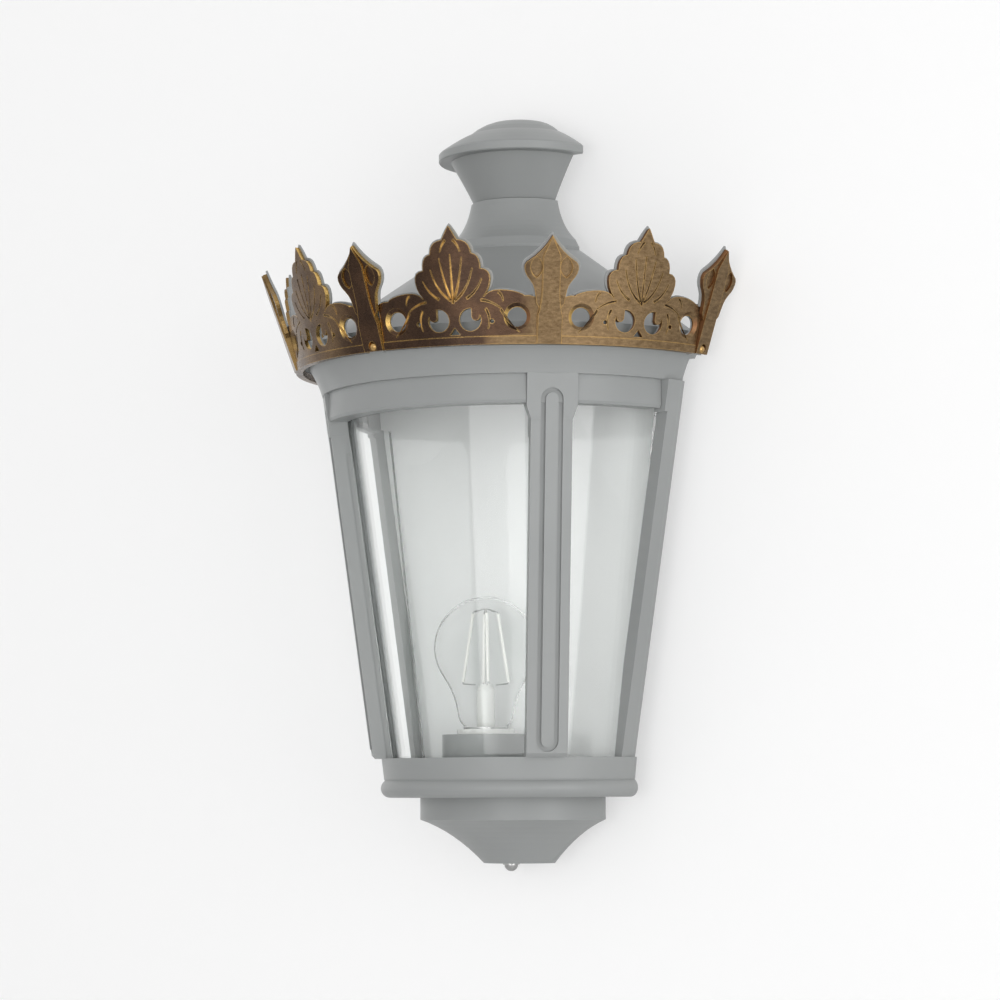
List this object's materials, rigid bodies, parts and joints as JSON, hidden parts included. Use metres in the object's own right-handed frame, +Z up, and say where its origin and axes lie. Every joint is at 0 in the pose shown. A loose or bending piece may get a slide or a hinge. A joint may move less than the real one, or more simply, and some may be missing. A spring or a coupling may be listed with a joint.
{
  "type": "half-round outdoor wall light",
  "caption": "Half-round outdoor wall light: tapering glazed lantern on a wall bracket, with a leaf-and-spear brass crown, chimney cap, dish base and a clear bulb that unscrews.",
  "frame": {"origin": "on the wall plane, on the lantern's middle line, level with the top edge of the base", "axes": "+Z up, -Y out of the wall towards the viewer, +X to the right as seen from the front"},
  "size_m": [0.3102, 0.1726, 0.4484],
  "materials": {
    "grey_paint": "satin grey paint over cast metal",
    "white_enamel": "glossy white",
    "aged_brass": "dark brown patina with rubbed golden edges",
    "clear_glass": "clear, polished",
    "bulb_glass": "clear, thin",
    "plated_steel": "zinc plated",
    "screw_brass": "bright",
    "black_rubber": "matte",
    "porcelain": "glazed white",
    "white_plastic": "matte white",
    "brown_lead": "matte brown",
    "green_lead": "matte green",
    "filament": "pale coated rods",
    "black_insulator": "black glass-like"
  },
  "bodies": {
    "lantern": {"wall_bracket": "grey_paint", "bracket_screws": "plated_steel", "cable_grommets": "black_rubber", "back_plate": "grey_paint", "reflector": "white_enamel", "base_pan": "grey_paint", "dish": "grey_paint", "dish_bracket": "plated_steel", "dish_screw": "plated_steel", "dish_washer": "plated_steel", "terminal_block": "white_plastic", "terminal_screws": "plated_steel", "supply_leads": "brown_lead", "earth_lead": "green_lead", "earth_screw": "screw_brass", "top_ring": "grey_paint", "rib_left": "grey_paint", "rib_right": "grey_paint", "post_left": "grey_paint", "post_right": "grey_paint", "foot_pins": "plated_steel", "rib_screws": "plated_steel", "post_screws": "plated_steel", "glass_front": "clear_glass", "glass_left": "clear_glass", "glass_right": "clear_glass", "glass_clips": "plated_steel", "clip_screws": "plated_steel", "lampholder_cup": "grey_paint", "lampholder": "porcelain", "lampholder_screws": "plated_steel", "socket_shell": "screw_brass", "centre_contact": "screw_brass", "roof_canopy": "grey_paint", "roof_straps": "grey_paint", "roof_screws": "plated_steel", "chimney_collar": "grey_paint", "chimney_cap": "grey_paint", "chimney_stud": "plated_steel", "chimney_strap": "plated_steel", "chimney_nut": "plated_steel", "crown_left": "aged_brass", "crown_right": "aged_brass", "crown_spear_front": "aged_brass", "crown_spear_left": "aged_brass", "crown_spear_right": "aged_brass", "crown_backing": "grey_paint", "crown_spacers": "plated_steel", "crown_screws": "screw_brass"},
    "bulb": {"bulb_glass": "bulb_glass", "bulb_cap": "plated_steel", "bulb_insulator": "black_insulator", "bulb_tip": "plated_steel", "bulb_stem": "porcelain", "filaments": "filament", "filament_wires": "plated_steel"}
  },
  "joints": [
    {"name": "bulb_turn", "type": "hinge", "parent": "lantern", "child": "bulb", "pos_m": [0, -0.0521, 0], "axis": [0, 0, 1], "range_deg": [0, 360]}
  ]
}
